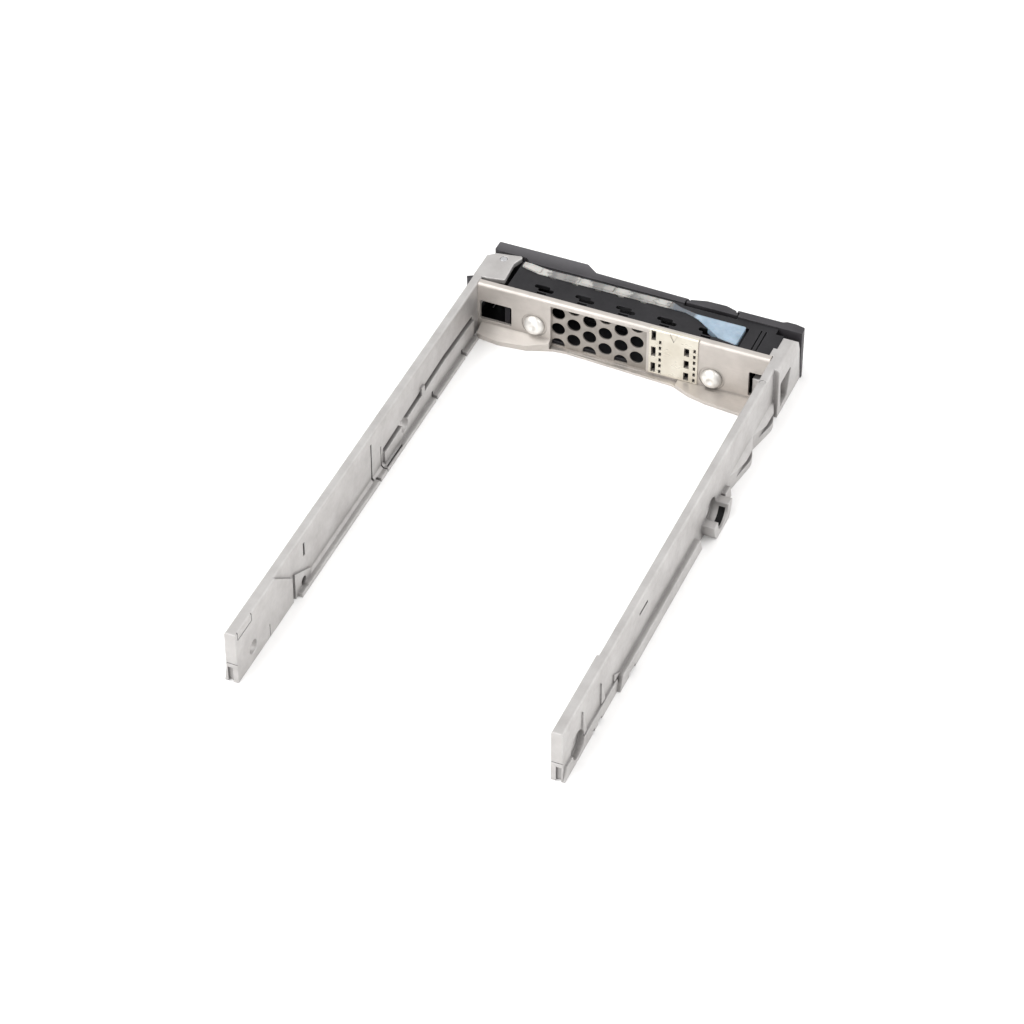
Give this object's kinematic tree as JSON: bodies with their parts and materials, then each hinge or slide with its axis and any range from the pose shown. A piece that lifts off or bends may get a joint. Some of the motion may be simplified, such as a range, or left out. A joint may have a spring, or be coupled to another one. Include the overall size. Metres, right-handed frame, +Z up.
{
  "type": "hot swap drive caddy",
  "caption": "Open tray for a 2.5 inch drive: die-cast rails, perforated front plate, and a dark bezel with a swing-out ejector lever and a push button.",
  "frame": {"origin": "middle of the front plate's drive side, at the level of the rails' underside", "axes": "+X across the caddy towards the ejector lever's hinge, +Y along the rails away from the bezel, +Z up from the rest surface"},
  "size_m": [0.0812, 0.1427, 0.0139],
  "materials": {
    "die_cast_metal": "satin, as cast and bead blasted",
    "plate_steel": "plated sheet, satin",
    "clip_steel": "bright plated spring strip",
    "rivet_metal": "bright",
    "dark_plastic": "fine grain",
    "bezel_plastic": "fine grain, edges slightly worn",
    "guide_plastic": "clear to milky, tinted pale blue at the block",
    "lens_plastic": "milky",
    "screw_steel": "plated",
    "spring_steel": "drawn wire"
  },
  "bodies": {
    "caddy": {"left_rail": "die_cast_metal", "right_rail": "die_cast_metal", "front_plate": "plate_steel", "vent_screen": "plate_steel", "grounding_clip": "clip_steel", "rivet_left": "rivet_metal", "rivet_right": "rivet_metal", "housing": "dark_plastic", "light_guide": "guide_plastic", "bezel_end": "bezel_plastic", "foot_screws": "screw_steel", "lever_pin": "spring_steel", "lever_spring": "spring_steel", "button_spring": "spring_steel"},
    "lever": {"ejector_lever": "bezel_plastic", "status_lens": "lens_plastic"},
    "button": {"release_button": "bezel_plastic"}
  },
  "joints": [
    {"name": "lever_hinge", "type": "hinge", "parent": "caddy", "child": "lever", "pos_m": [0.0335, -0.0106, 0], "axis": [0, 0, 1], "range_deg": [0, 35]},
    {"name": "button_press", "type": "slide", "parent": "caddy", "child": "button", "axis": [0, 1, 0], "range_m": [0, 0.001], "stiffness_N_per_m": 300, "deforming": ["button_spring"]}
  ]
}
